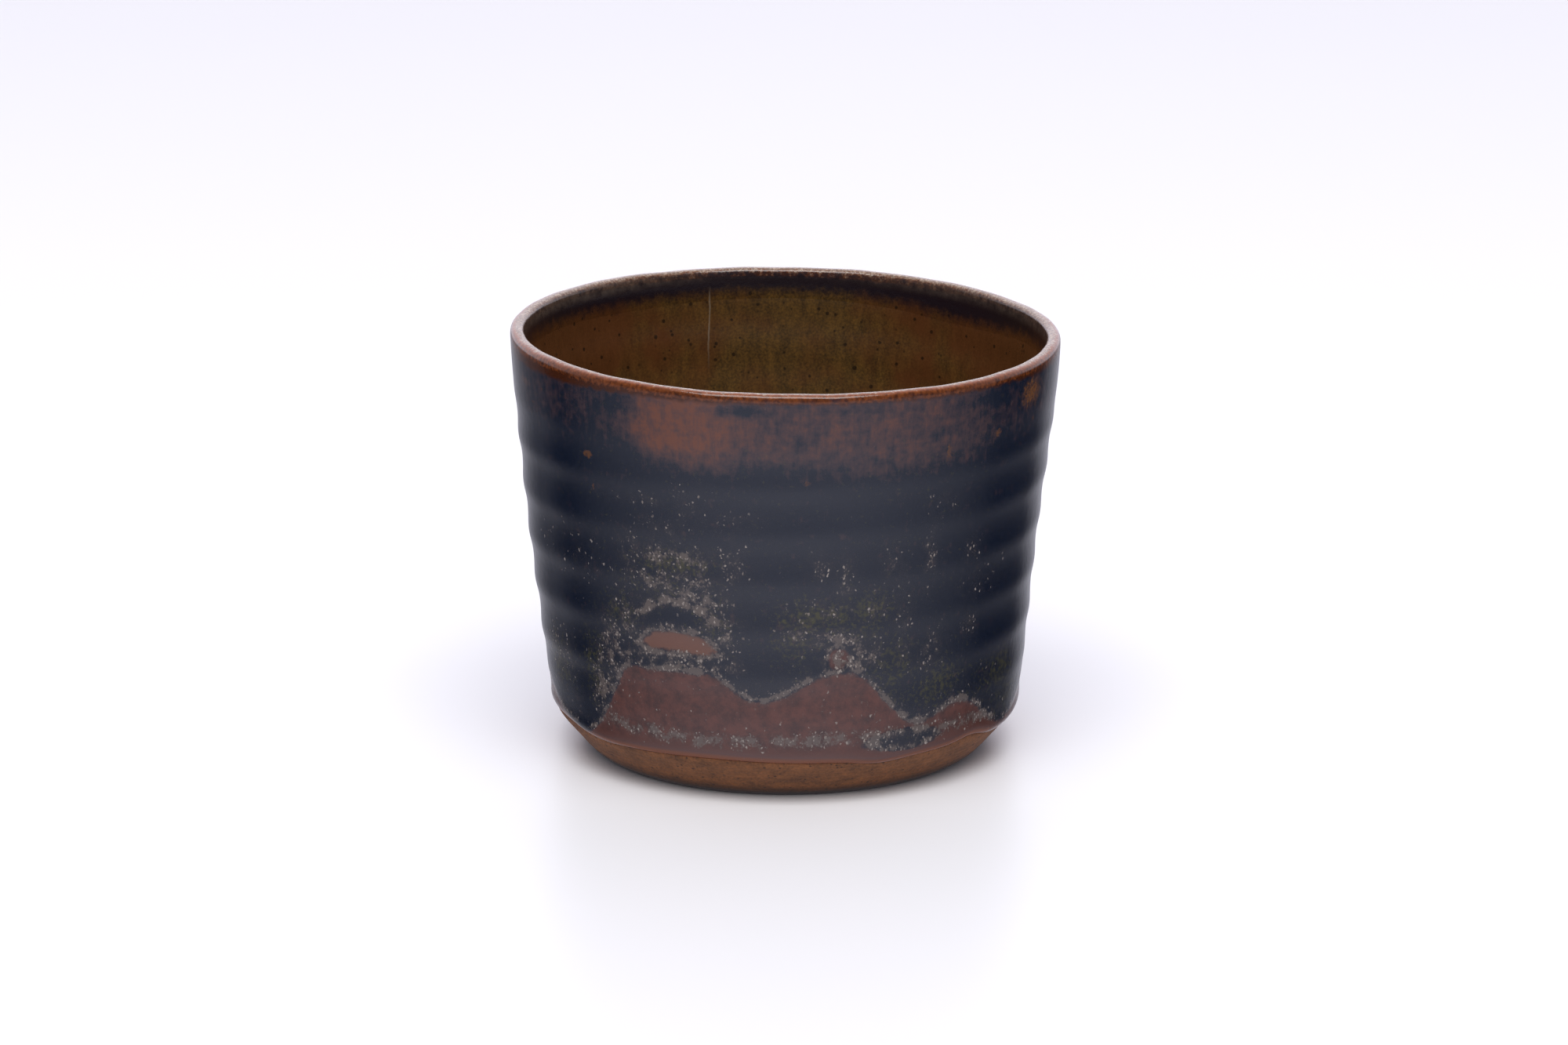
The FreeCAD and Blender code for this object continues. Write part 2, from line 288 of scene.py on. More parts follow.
# %% The red-brown band
KAKI_FADE = (-2.8, 3.0)
KAKI_STRENGTH = around_curve([
    (-180, 0.30), (-150, 0.50), (-120, 0.30), (-90, 0.28), (-60, 0.30), (-42, 0.34), (-35, 0.50),
    (-31, 0.95), (-27, 1.0), (-15, 1.0), (-9, 0.68), (8, 0.64), (26, 0.60), (38, 0.52),
    (47, 0.38), (56, 0.28), (75, 0.28), (110, 0.5), (140, 0.85), (160, 0.6),
])
KAKI_BOTTOM = around_curve([
    (-170, 46.5), (-130, 47.0), (-60, 48.0), (-34, 47.6), (-28, 46.4), (-15, 46.2), (-5, 46.4),
    (15, 45.6), (35, 45.4), (50, 47.2), (90, 48.0), (130, 45.5), (160, 46.0),
])


def kaki_band(angle_degrees, height):
    """Strength of the red-brown band under the lip, fading downwards."""
    bottom = KAKI_BOTTOM(angle_degrees)
    fade = smoothstep(height, bottom + KAKI_FADE[0], bottom + KAKI_FADE[1])
    return KAKI_STRENGTH(angle_degrees) * fade * (1 - patches(NAVY_PATCHES, angle_degrees, height))


print(f"red-brown band down to {KAKI_BOTTOM(degrees).min():.1f} to {KAKI_BOTTOM(degrees).max():.1f} mm")

# %% [markdown]
# The rust ground is the hills, an arch that floats over the first hill, a small peak over the
# second, and a gap where a dark pool lies near the foot.

# %% The rust ground
ARCH_CENTRE = -25.0
ARCH_TOP = 23.2
ARCH_BOTTOM = 20.4
ARCH_BEND = 0.0143
ARCH_HALF_DEGREES = 6.5
PEAK_CENTRE = 12
PEAK_HEIGHT = 20.2
POOL_CENTRE = 29.5
POOL_HEIGHT = 8.1


def outside_pool(angle_degrees, height):
    """Below 0 inside the dark pool near the foot, and above 0 outside it."""
    return ((angle_degrees - POOL_CENTRE) / 10.5) ** 2 + ((height - POOL_HEIGHT) / 1.5) ** 2 - 1


def rust_ground(angle_degrees, height):
    """Millimetres into the rust ground: above 0 inside its edge and below 0 outside."""
    hills = hill_edge(angle_degrees) - height
    away = angle_degrees - ARCH_CENTRE
    arch_top = ARCH_TOP - ARCH_BEND * away ** 2
    arch_bottom = ARCH_BOTTOM - 0.3 * ARCH_BEND * away ** 2
    past_ends = np.maximum(np.abs(away) - ARCH_HALF_DEGREES, 0)
    arch = np.minimum(arch_top - height, height - arch_bottom) - 0.3 * past_ends
    peak = 0.8 - ((angle_degrees - PEAK_CENTRE) / 2.6) ** 2 - ((height - PEAK_HEIGHT) / 1.6) ** 2
    ground = np.maximum(np.maximum(hills, arch), peak)
    return np.minimum(ground, 1.3 * outside_pool(angle_degrees, height))


def arch_part(angle_degrees, height):
    """1 on the arch over the first hill, where the ground is paler, and 0 elsewhere."""
    beside = 1 - smoothstep(np.abs(angle_degrees - ARCH_CENTRE), 14, 20)
    return beside * smoothstep(height, 18.0, 20.5)


some_heights = np.linspace(SHOULDER_HEIGHT, CROWN_HEIGHT, 100)
rust_share = (rust_ground(degrees[:, None], some_heights) > 0).mean()
print(f"rust ground over {100 * rust_share:.0f}% of the wall")

# %% [markdown]
# Pale crystals crowd along the edge of the rust ground, thin out above it, and lie in a line just
# over the foot. A second, crystal-pale arch stands over the rust one.

# %% The crystals
PALE_ARCH_TOP = 27.4
PALE_ARCH_BEND = 0.026
FOOT_LINE_HEIGHT = 8.8
PEAK_CRYSTALS = (12, 19.9, 3.8, 2.0, 1.0)
CRYSTALS_START = (5.8, 7.5)


def crystal_cover(angle_degrees, height):
    """Share of the surface that pale crystals cover."""
    above = height - hill_edge(angle_degrees)
    ground = rust_ground(angle_degrees, height)
    fringe = 1.3 * bell(ground, -0.40, 0.60)
    halo = 0.60 * np.exp(-np.maximum(above, 0) / 1.6) * (ground < 0) * (above > 0)
    away = angle_degrees - ARCH_CENTRE
    near_arch = 1 - smoothstep(np.abs(away), 13, 18)
    arched = height + PALE_ARCH_BEND * away ** 2
    pale_arch = 1.8 * bell(arched, PALE_ARCH_TOP, 0.8) * (1 - smoothstep(np.abs(away), 8, 13))
    arch_gap = near_arch * 0.75 * bell(height, 19.0, 1.1)
    line_height = FOOT_LINE_HEIGHT + 0.3 * np.sin(np.radians(angle_degrees) * 5)
    out_of_pool = smoothstep(outside_pool(angle_degrees, height), -0.3, 0.3)
    foot_line = bell(height, line_height, 1.1) * (above < 0) * out_of_pool
    in_ground = 0.13 * (above < 0) * out_of_pool
    in_peak = patches([PEAK_CRYSTALS], angle_degrees, height)
    cover = patches(CRYSTAL_PATCHES, angle_degrees, height) * (above > 0)
    for part in (fringe, halo, pale_arch, arch_gap, foot_line, in_ground, in_peak):
        cover = np.maximum(cover, part)
    return cover * smoothstep(height, *CRYSTALS_START)


mean_cover = crystal_cover(degrees[:, None], some_heights).mean()
print(f"crystals asked for on {100 * mean_cover:.0f}% of the wall")

# %% [markdown]
# ## The meshes
# Each layer is a closed shell: rings up one face, over the edge and back down the other. Where
# a shell meets the axis, a ring closes on one point. The lean of the rim is a shear that grows
# with height, so the foot stays flat on the table.

# %% A shell from stacked rings
def place_ring(angle, radius, height):
    """Points of one ring in millimetres, with the rim's lean worked in."""
    radius = np.broadcast_to(radius, angle.shape)
    height = np.broadcast_to(height, angle.shape)
    leaned = height - LEAN * (height / CUP_HEIGHT) * radius * np.sin(angle) / RIM_RADIUS
    return np.stack([radius * np.sin(angle), -radius * np.cos(angle), leaned], -1)


def shell(name, rings, first_point=None, last_point=None):
    """A mesh object from rings of (radius, height). With no end points the stack is a loop."""
    verts = np.concatenate([place_ring(turn, radius, height) for radius, height in rings])
    rows = len(rings)
    quads = []
    across = np.arange(AROUND)
    beside = (across + 1) % AROUND
    for row in range(rows if first_point is None else rows - 1):
        low = row * AROUND
        high = ((row + 1) % rows) * AROUND
        quads.append(np.stack([low + across, low + beside, high + beside, high + across], -1))
    faces = np.concatenate(quads).tolist()
    if first_point is not None:
        verts = np.concatenate([verts, [[0, 0, first_point], [0, 0, last_point]]])
        first, last = len(verts) - 2, len(verts) - 1
        top = (rows - 1) * AROUND
        faces += [[first, int(b), int(a)] for a, b in zip(across, beside)]
        faces += [[last, int(top + a), int(top + b)] for a, b in zip(across, beside)]
    mesh = bpy.data.meshes.new(name)
    mesh.from_pydata((verts * MM).tolist(), [], faces)
    tidy = bmesh.new()
    tidy.from_mesh(mesh)
    bmesh.ops.recalc_face_normals(tidy, faces=tidy.faces)
    tidy.to_mesh(mesh)
    tidy.free()
    mesh.polygons.foreach_set("use_smooth", [True] * len(mesh.polygons))
    piece = bpy.data.objects.new(name, mesh)
    bpy.context.scene.collection.objects.link(piece)
    print(f"{name}: {len(mesh.vertices)} points, {len(mesh.polygons)} faces")
    return piece


def store(piece, name, rows, end_values=()):
    """Keep one number per point on the mesh, for its material to read."""
    values = np.concatenate([np.broadcast_to(row, turn.shape) for row in rows])
    values = np.concatenate([values, end_values])
    attribute = piece.data.attributes.new(name, "FLOAT", "POINT")
    attribute.data.foreach_set("value", values.astype(np.float32))


# %% [markdown]
# ## The dipped glaze
# The coat is about 0.4 mm thick. It ends above the foot in a rounded roll, because molten glaze
# gathers there and stops, and it laps about 4 mm down inside, over the liner, where the cup was
# pushed rim first into the bucket.

# %% How the coat changes round the lip
DARK_LAP = around_curve([
    (-165, 2.1), (-145, 2.5), (-120, 2.3), (-90, 2.4), (-60, 2.4), (-20, 2.2), (20, 2.4), (60, 2.3),
    (90, 2.3), (110, 2.3), (125, 3.0), (140, 3.2), (152, 2.6), (172, 2.0),
])
# Strength of the painted sheen on the lap, a brown-grey reflection that is strongest at the sides.
PAINTED_SHEEN_AROUND = around_curve([
    (-175, 0.1), (-160, 0.3), (-145, 0.8), (-120, 1.0), (-95, 1.0), (-60, 0.4), (0, 0.3), (60, 0.5),
    (95, 0.9), (120, 0.9), (145, 0.7), (165, 0.2),
])
LIP_BREAK = around_curve([
    (-160, 1.7), (-120, 1.9), (-90, 2.4), (-70, 2.4), (-45, 2.0), (-30, 1.6), (-18, 1.5), (-6, 1.25),
    (10, 1.2), (30, 1.3), (48, 1.4), (62, 1.7), (80, 2.0), (120, 1.7), (160, 1.4),
])
print(f"dark lap {DARK_LAP(degrees).min():.1f} to {DARK_LAP(degrees).max():.1f} mm deep")

# %% Thickness of the coat
ROLL_WIDTH = 1.5
ROLL_SWELL = 0.35
RUST_THINNING = 0.09


def coat_thickness(angle_degrees, height):
    """Thickness of the dipped glaze outside, with its roll at the foot."""
    above = np.maximum(height - glaze_line(angle_degrees), 0)
    share = np.clip(above / ROLL_WIDTH, 0, 1)
    rounded = np.sqrt(1 - (1 - share) ** 2)
    roll = 1 + ROLL_SWELL * bell(above, 1.0, 0.9)
    thin = RUST_THINNING * smoothstep(rust_ground(angle_degrees, height), -0.6, 0.6)
    return rounded * (OUTER_GLAZE * roll - thin)


def lip_wobble(angle):
    """Small unevenness of the thrown rim."""
    return 0.05 * np.sin(5 * angle + 0.7) + 0.03 * np.sin(13 * angle + 2.1) + 0.02 * np.sin(29 * angle)


print(f"coat {coat_thickness(degrees, CUP_HEIGHT / 2).mean():.2f} mm thick half way up")

# %% [markdown]
# The coat's rings go up the outside, over the crown, down the lap and back behind the glaze, where
# the clay hides them. The crown is a superellipse, flatter on top than a circle, as a rim that was
# smoothed with a wet leather is. Each ring also notes how far it is past the middle of the crown.

# %% Rings up the outside and over the crown
OUTSIDE_ROWS = 168
CROWN_ROWS = 14
LIP_SQUARENESS = 2.8
glaze_rings = []
glaze_heights = []
past_crown = []


def add_ring(radius, height, pattern_height, past):
    """Add one ring of the coat, with the height and the crown distance that its pattern uses."""
    glaze_rings.append((radius, height))
    glaze_heights.append(pattern_height + 0 * turn)
    past_crown.append(past + 0 * turn)


line = glaze_line(degrees)
for share in np.linspace(0, 1, OUTSIDE_ROWS):
    height = line + (CROWN_HEIGHT - line) * (0.25 * share ** 2 + 0.75 * share)
    radius = clay_outside(turn, height) + coat_thickness(degrees, height)
    add_ring(radius, height, height, height - CUP_HEIGHT)
outer_edge = glaze_rings[-1][0]
inner_edge = inner_surface(CROWN_HEIGHT) - LAP_GLAZE
crown_middle = (outer_edge + inner_edge) / 2
crown_half = (outer_edge - inner_edge) / 2
for angle_up in np.linspace(0, math.pi, CROWN_ROWS + 2)[1:-1]:
    outward = math.copysign(abs(math.cos(angle_up)) ** (2 / LIP_SQUARENESS), math.cos(angle_up))
    rise = math.sin(angle_up) ** (2 / LIP_SQUARENESS)
    height = CROWN_HEIGHT + (LIP_HALF + lip_wobble(turn)) * rise
    add_ring(crown_middle + crown_half * outward, height, CUP_HEIGHT, -LIP_HALF * math.cos(angle_up))
print(f"{len(glaze_rings)} rings up to the lap, lip {2 * crown_half.mean():.2f} mm thick")

# %% [markdown]
# The lap tapers until it dives under the liner's surface, so its end shows no step. The rings then
# run back up and down again between the glaze and the clay, and close the shell.

# %% Rings down the lap and back behind the glaze
LAP_ROWS = 14
LAP_PAST_DARK = 1.7
LAP_SHOWS = 0.85
LAP_BACK = 0.15
COAT_BACK = 0.05
lap = DARK_LAP(degrees) + LAP_PAST_DARK
for share in np.linspace(0, 1, LAP_ROWS):
    height = CROWN_HEIGHT - lap * share
    taper = LAP_GLAZE * (1 - (share / LAP_SHOWS) ** 2)
    wave = finger_wave(turn, height) * smoothstep(share, 0.0, 0.4)
    add_ring(inner_surface(height) + wave - taper, height, CUP_HEIGHT, LIP_HALF + lap * share)
for share in np.linspace(0, 1, 4):
    height = CROWN_HEIGHT - lap * (1 - share)
    add_ring(inner_surface(height) + LAP_BACK, height, CUP_HEIGHT, LIP_HALF + lap * (1 - share))
for share in np.linspace(0, 1, 12):
    height = CROWN_HEIGHT - (CROWN_HEIGHT - line - 0.3) * share
    add_ring(clay_outside(turn, height) - COAT_BACK, height, height, height - CUP_HEIGHT)
outer_glaze = shell("dipped_glaze", glaze_rings)

# %% [markdown]
# The fields of the pattern are kept on the mesh, one number per point, so that the material reads
# them wherever the point goes and needs no image texture.

# %% Keep the fields on the glaze
over_heights = {
    "rust": rust_ground,
    "kaki": kaki_band,
    "crystals": crystal_cover,
    "arch": arch_part,
    "olive": functools.partial(patches, OLIVE_PATCHES),
    "rust_spots": functools.partial(patches, RUST_SPOTS),
}
for name, field_of in over_heights.items():
    store(outer_glaze, name, [field_of(degrees, height) for height in glaze_heights])


def painted_sheen_strength(past):
    """The painted sheen on the lap, a brown-grey reflection: it fades in past the lip and out again further
    down.
    """
    return PAINTED_SHEEN_AROUND(degrees) * smoothstep(past, 0.2, 1.0) * (1 - smoothstep(past, 1.0, 2.3))


lip_thin = [np.where(past < 0, past + LIP_BREAK(degrees), 1.1 - past) for past in past_crown]
store(outer_glaze, "above_line", [height - line for height in glaze_heights])
store(outer_glaze, "lip_thin", lip_thin)
store(outer_glaze, "past_dark_lap", [past - LIP_HALF - DARK_LAP(degrees) for past in past_crown])
store(outer_glaze, "past_crown", past_crown)
store(outer_glaze, "painted_lap_sheen", [painted_sheen_strength(past) for past in past_crown])
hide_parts("outer_glaze")
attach(outer_glaze, "root")
print("fields read from turn and height:", ", ".join(over_heights))

# %% [markdown]
# ## The poured liner
# The liner is an even coat on the inside wall and the floor. A faint spiral in the floor is
# where the potter's finger opened the clay.

# %% The curve from wall to floor
FLOOR_SURFACE = CLAY_FLOOR + LINER_GLAZE
lean_in = math.atan(INNER_SLOPE)
curve_cut = FLOOR_CURVE * math.tan(math.pi / 4 - lean_in / 2)
corner_radius = inner_surface(FLOOR_SURFACE)
curve_top = FLOOR_SURFACE + curve_cut * math.cos(lean_in)
curve_centre_radius = corner_radius - curve_cut
curve_centre_height = FLOOR_SURFACE + FLOOR_CURVE
print(f"floor at {FLOOR_SURFACE:.2f} mm, wall starts at {curve_top:.2f} mm")

# %% Build the liner
SWIRL_DEPTH = 0.12
SWIRL_PITCH = 4.2
SWIRL_RADIUS = 8


def inside_profile(depth):
    """Rings down the inside, depth millimetres behind the liner's surface."""
    rings = []
    for height in np.linspace(CROWN_HEIGHT, curve_top, 110):
        rings.append((inner_surface(height) + depth + finger_wave(turn, height), height))
    for angle_down in np.linspace(lean_in, math.pi / 2, 26)[1:]:
        away = FLOOR_CURVE + depth
        radius = curve_centre_radius + away * math.cos(angle_down)
        rings.append((radius, curve_centre_height - away * math.sin(angle_down)))
    for radius in np.linspace(curve_centre_radius, 0, 40)[1:-1]:
        around_swirl = math.exp(-(radius - SWIRL_RADIUS) ** 2 / 40)
        swirl = SWIRL_DEPTH * np.cos(2 * math.pi * radius / SWIRL_PITCH - turn) * around_swirl
        rings.append((radius, FLOOR_SURFACE - depth + swirl))
    return rings


surface = inside_profile(0)
behind = inside_profile(LINER_GLAZE)[::-12]
liner_rings = surface[::-1] + behind[::-1]
liner = shell("poured_liner", liner_rings, FLOOR_SURFACE, FLOOR_SURFACE - LINER_GLAZE)
past_lap = [CROWN_HEIGHT - height - DARK_LAP(degrees) for radius, height in liner_rings]
store(liner, "past_dark_lap", past_lap, [CROWN_HEIGHT, CROWN_HEIGHT])
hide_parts("liner_glaze")
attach(liner, "root")

# %% [markdown]
# ## The clay
# The foot was trimmed with a loop tool, which leaves fine lines round the bevel and a shallow
# hollow underneath. Only the foot shows, so its rings are close together and the rest, under
# the glazes, are far apart.

# %% Marks of the trimming tool
def trimming_lines(angle, along):
    """Fine marks of the trimming tool, by distance along the cut."""
    coarse = 0.022 * np.sin(2 * math.pi * along / 0.85 + 0.4 * np.sin(2 * angle))
    fine = 0.015 * np.sin(2 * math.pi * along / 0.37 + 1.3 * np.sin(3 * angle + 1))
    return coarse + fine


# %% Rings of the foot
FOOT_EDGE = 0.55
EDGE_ROUNDING = 0.6
RECESS_ROUNDING = 0.8
RECESS_SPIRAL = 0.03
RECESS_SPIRAL_PITCH = 1.6
FOOT_UNEVENNESS = 0.012
ring_inside = FOOT_RADIUS - FOOT_RING_WIDTH
clay_rings = []
for radius in np.linspace(0, ring_inside - RECESS_ROUNDING, 60)[1:]:
    spiral = RECESS_SPIRAL * np.cos(2 * math.pi * radius / RECESS_SPIRAL_PITCH - turn)
    clay_rings.append((radius, FOOT_RECESS + spiral))
for share in np.linspace(0, 1, 8)[1:]:
    radius = ring_inside - RECESS_ROUNDING * (1 - share) ** 2
    clay_rings.append((radius, FOOT_RECESS * (1 - share)))
for radius in np.linspace(ring_inside, FOOT_RADIUS - FOOT_EDGE, 14)[1:]:
    clay_rings.append((radius, FOOT_UNEVENNESS * (1 + np.sin(9 * turn + radius)) * 0.5))
for height in np.linspace(0.08, 8.5, 60):
    edge = EDGE_ROUNDING * math.exp(-height / 0.35)
    rough = trimming_lines(turn, height * 1.3) * (1 - smoothstep(height, 5.0, 5.6))
    clay_rings.append((clay_outside(turn, height + 0 * turn) - edge + rough, height))
print(f"foot ring {ring_inside:.1f} to {FOOT_RADIUS:.1f} mm from the axis, {len(clay_rings)} rings so far")

# %% Rings under the glazes
UNDER_GLAZE = 0.08
for height in np.linspace(10, CROWN_HEIGHT, 24):
    clay_rings.append((clay_outside(turn, height + 0 * turn) - UNDER_GLAZE, height))
for height in np.linspace(CROWN_HEIGHT, curve_top, 12):
    clay_rings.append((inner_surface(height) + LINER_GLAZE + UNDER_GLAZE, height))
for angle_down in np.linspace(lean_in, math.pi / 2, 8)[1:]:
    away = FLOOR_CURVE + LINER_GLAZE + UNDER_GLAZE
    radius = curve_centre_radius + away * math.cos(angle_down)
    clay_rings.append((radius, curve_centre_height - away * math.sin(angle_down)))
clay_rings.append((1.0, CLAY_FLOOR - UNDER_GLAZE))
clay = shell("stoneware_body", clay_rings, FOOT_RECESS, CLAY_FLOOR - UNDER_GLAZE)
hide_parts("clay_body")
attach(clay, "root")

# %% [markdown]
# ## Materials
# Colours are written as the sRGB values that a person would pick by eye, and one function turns
# them to the linear values that Blender mixes. One more adds a node and links its inputs.

# %% Colour and node helpers
PER_MM = 1000.0


def linear(hex_colour):
    """An sRGB hex colour as linear red, green, blue and alpha."""
    channels = [int(hex_colour[place:place + 2], 16) / 255 for place in (1, 3, 5)]
    return [c / 12.92 if c <= 0.04045 else ((c + 0.055) / 1.055) ** 2.4 for c in channels] + [1.0]


def add_node(tree, kind, inputs=None, **settings):
    """Add a node, change its settings, and fill or link its inputs by name or number."""
    node = tree.nodes.new("ShaderNode" + kind)
    for name, value in settings.items():
        setattr(node, name, value)
    for key, value in (inputs or {}).items():
        if isinstance(value, bpy.types.Node):
            value = value.outputs[2] if value.bl_idname == "ShaderNodeMix" else value.outputs[0]
        if isinstance(value, bpy.types.NodeSocket):
            tree.links.new(value, node.inputs[key])
        else:
            node.inputs[key].default_value = value
    return node


def new_material(name):
    """An empty node material: itself, a function that adds nodes to it, and its output node."""
    material = bpy.data.materials.new(name)
    material.use_nodes = True
    material.node_tree.nodes.clear()
    add = functools.partial(add_node, material.node_tree)
    return material, add, add("OutputMaterial")


def wear(piece, material):
    """Put one material on a piece."""
    piece.data.materials.clear()
    piece.data.materials.append(material)
    print(f"{piece.name} wears {material.name}, {len(material.node_tree.nodes)} nodes")


# %% [markdown]
# Iron specks turn up in both the amber glaze and the bare clay. Each cell of a Voronoi pattern
# draws a lot: most cells stay bare, and the others hold one round speck, no larger than its lot.

# %% Iron specks
def iron_specks(add, in_mm, tone, colour, per_mm, bare_share, largest, edge, strength):
    """Mix dark round specks into a tone."""
    specks = add("TexVoronoi", {"Vector": in_mm, "Scale": per_mm}, feature="F1")
    lot = add("SeparateColor", {0: specks.outputs["Color"]})
    size = add("MapRange", {0: lot.outputs[0], 1: bare_share, 2: 1.0, 3: 0.0, 4: largest})
    inside = add("Math", {0: size, 1: specks.outputs["Distance"]}, operation="SUBTRACT")
    speck = add("MapRange", {0: inside, 1: -edge, 2: edge, 3: 0.0, 4: strength})
    return add("Mix", {0: speck, 6: tone, 7: linear(colour)}, data_type="RGBA")


# %% [markdown]
# ### Amber glaze
# A thin lime glaze with a little iron, poured in and poured out. It is transparent olive-amber
# glass over brown clay, so it is modelled as a gloss with the colour of the two together. It ran
# down the wall before it set, which draws its streaks out from top to bottom. Towards the sides it
# is redder, and iron from the clay bleeds through as dark specks. One pale hairline crosses the far
# wall. Both glazes need this tone, because the dipped glaze fades into it below the lip.

# %% A hairline in the amber glaze
SCRATCH_PALE = "#8a7c6a"
SCRATCH_PLACE = -9.6
SCRATCH_LOW = 42.5
SCRATCH_FADE = 5.0


def hairline(add, place, cloud, tone):
    """Mix one pale, slightly wandering line into the tone on the far wall."""
    wander = add("Math", {0: cloud, 1: 1.5, 2: place.outputs[0]}, operation="MULTIPLY_ADD")
    off_line = add("Math", {0: wander, 1: SCRATCH_PLACE}, operation="SUBTRACT")
    off_line = add("Math", {0: off_line}, operation="ABSOLUTE")
    scratch = add("MapRange", {0: off_line, 1: 0.05, 2: 0.16, 3: 0.45, 4: 0.0})
    high = add("MapRange", {0: place.outputs[2], 1: SCRATCH_LOW, 2: SCRATCH_LOW + SCRATCH_FADE})
    far_side = add("Math", {0: place.outputs[1], 1: 0.0}, operation="GREATER_THAN")
    scratch = add("Math", {0: scratch, 1: high}, operation="MULTIPLY")
    scratch = add("Math", {0: scratch, 1: far_side}, operation="MULTIPLY")
    return add("Mix", {0: scratch, 6: tone, 7: linear(SCRATCH_PALE)}, data_type="RGBA")


# %% The tone of the amber glaze
AMBER = "#61451f"
AMBER_DARK = "#3e2e1a"
AMBER_RED = "#56331a"
AMBER_SPECK = "#1c130b"
STREAK_PER_MM = 0.9
AMBER_GRAIN_PER_MM = 3.2
AMBER_CLOUD_PER_MM = 0.16
AMBER_SPECK_PER_MM = 0.85


def amber_tone(add, in_mm):
    """Colour of the amber glaze, and the streaks that also raise its surface."""
    drawn_down = add("VectorMath", {0: in_mm, 1: (1.0, 1.0, 0.3)}, operation="MULTIPLY")
    streaks = add("TexNoise", {"Vector": drawn_down, "Scale": STREAK_PER_MM, "Detail": 5.0, "Roughness": 0.6})
    grain = add("TexNoise", {"Vector": in_mm, "Scale": AMBER_GRAIN_PER_MM, "Detail": 2.0})
    both = add("Math", {0: streaks, 1: grain}, operation="ADD")
    level = add("MapRange", {0: both, 1: 0.68, 2: 1.34})
    tone = add("Mix", {0: level, 6: linear(AMBER_DARK), 7: linear(AMBER)}, data_type="RGBA")

    place = add("SeparateXYZ", {0: in_mm})
    distance = add("Math", {0: place.outputs[0]}, operation="ABSOLUTE")
    cloud = add("TexNoise", {"Vector": in_mm, "Scale": AMBER_CLOUD_PER_MM, "Detail": 3.0})
    wandering = add("MapRange", {0: cloud, 1: 0.3, 2: 0.7, 3: -12.0, 4: 12.0})
    to_side = add("Math", {0: distance, 1: wandering}, operation="ADD")
    redder = add("MapRange", {0: to_side, 1: 4.0, 2: 26.0})
    tone = add("Mix", {0: redder, 6: tone, 7: linear(AMBER_RED)}, data_type="RGBA")
    depth = add("MapRange", {0: level, 3: 0.82, 4: 1.12})
    tone = add("VectorMath", {0: tone, "Scale": depth}, operation="SCALE")
    tone = iron_specks(add, in_mm, tone, AMBER_SPECK, AMBER_SPECK_PER_MM, 0.35, 0.26, 0.06, 0.8)
    return hairline(add, place, cloud, tone), streaks


# %% [markdown]
# Under the lip both glazes lie over each other, and the iron turns the pair almost black. The
# dark then fades down into amber along a ragged edge, which both layers work out the same way, so
# that no line shows where the mesh of one dives under the other.

# %% From the dark lap to amber
LAP_DARK = "#1b1319"
MOTTLE_PER_MM = 0.8


def mottle_noise(add, in_mm):
    """Soft unevenness a millimetre or so across."""
    return add("TexNoise", {"Vector": in_mm, "Scale": MOTTLE_PER_MM, "Detail": 4.0, "Roughness": 0.6})


def lap_fade(add, mottle, past_dark_lap):
    """Share of the amber glaze: 0 in the dark lap under the lip, and 1 further down."""
    edge = add("Math", {0: mottle, 1: 2.4, 2: past_dark_lap}, operation="MULTIPLY_ADD")
    return add("MapRange", {0: edge, 1: 0.2, 2: 2.6}, interpolation_type="SMOOTHSTEP")


# %% Amber glaze on the liner
GLAZE_IOR = 1.52
AMBER_ROUGHNESS = 0.2


def make_amber_glaze():
    """The liner's finish."""
    material, add, output = new_material("poured_amber_lime_glaze")
    where = add("TexCoord").outputs["Object"]
    in_mm = add("VectorMath", {0: where, 1: [PER_MM] * 3}, operation="MULTIPLY")
    tone, streaks = amber_tone(add, in_mm)
    past_dark_lap = add("Attribute", attribute_name="past_dark_lap").outputs["Fac"]
    fade = lap_fade(add, mottle_noise(add, in_mm), past_dark_lap)
    tone = add("Mix", {0: fade, 6: linear(LAP_DARK), 7: tone}, data_type="RGBA")
    bump = add("Bump", {"Height": streaks, "Strength": 0.15, "Distance": 0.0003})
    gloss = {"Base Color": tone, "Roughness": AMBER_ROUGHNESS, "IOR": GLAZE_IOR, "Normal": bump}
    glass = add("BsdfPrincipled", gloss)
    material.node_tree.links.new(glass.outputs[0], output.inputs[0])
    return material


wear(liner, make_amber_glaze())

# %% [markdown]
# ### Dipped iron glaze
# Tenmoku: a glaze with about a tenth of iron oxide. It is melted glass, so its IOR is about 1.5
# and it isn't metallic, and slow cooling leaves it between gloss and satin. Thick, it is
# blue-black. Thin, the iron comes out of it as rust red on the lip, under the lip and near the
# foot. Iron and lime crystals a few tenths of a millimetre long sit on it where the two meet.
#
# Its colour is laid on in steps, each in a function of its own: the thick glaze first, then what
# broke through it. Each step takes the tone so far and mixes its own over it where its field says.

# %% Thick glaze with olive flecks
GLAZE_NAVY = "#111929"
GLAZE_OLIVE = "#3b3a26"


def thick_glaze(add, field, tiny):
    """Blue-black glass, flecked with olive where crystals began to grow."""
    olive_sum = add("Math", {0: field["olive"], 1: 0.30, 2: tiny}, operation="MULTIPLY_ADD")
    olive = add("MapRange", {0: olive_sum, 1: 0.62, 2: 0.86})
    return add("Mix", {0: olive, 6: linear(GLAZE_NAVY), 7: linear(GLAZE_OLIVE)}, data_type="RGBA")


# %% [markdown]
# The band under the lip is a thin, red-brown skin, which potters call kaki after the persimmon.
# Glaze ran down through it and the wheel drew it round, so its edge is woven from a noise drawn
# downwards, one drawn round the cup and one that is even.

# %% Red-brown band and orange spots
KAKI = "#643a2b"
KAKI_THIN = "#573d3a"
SPOT_ORANGE = "#6f451f"
RUNS_PER_MM = 1.3
TURNS_PER_MM = 1.1


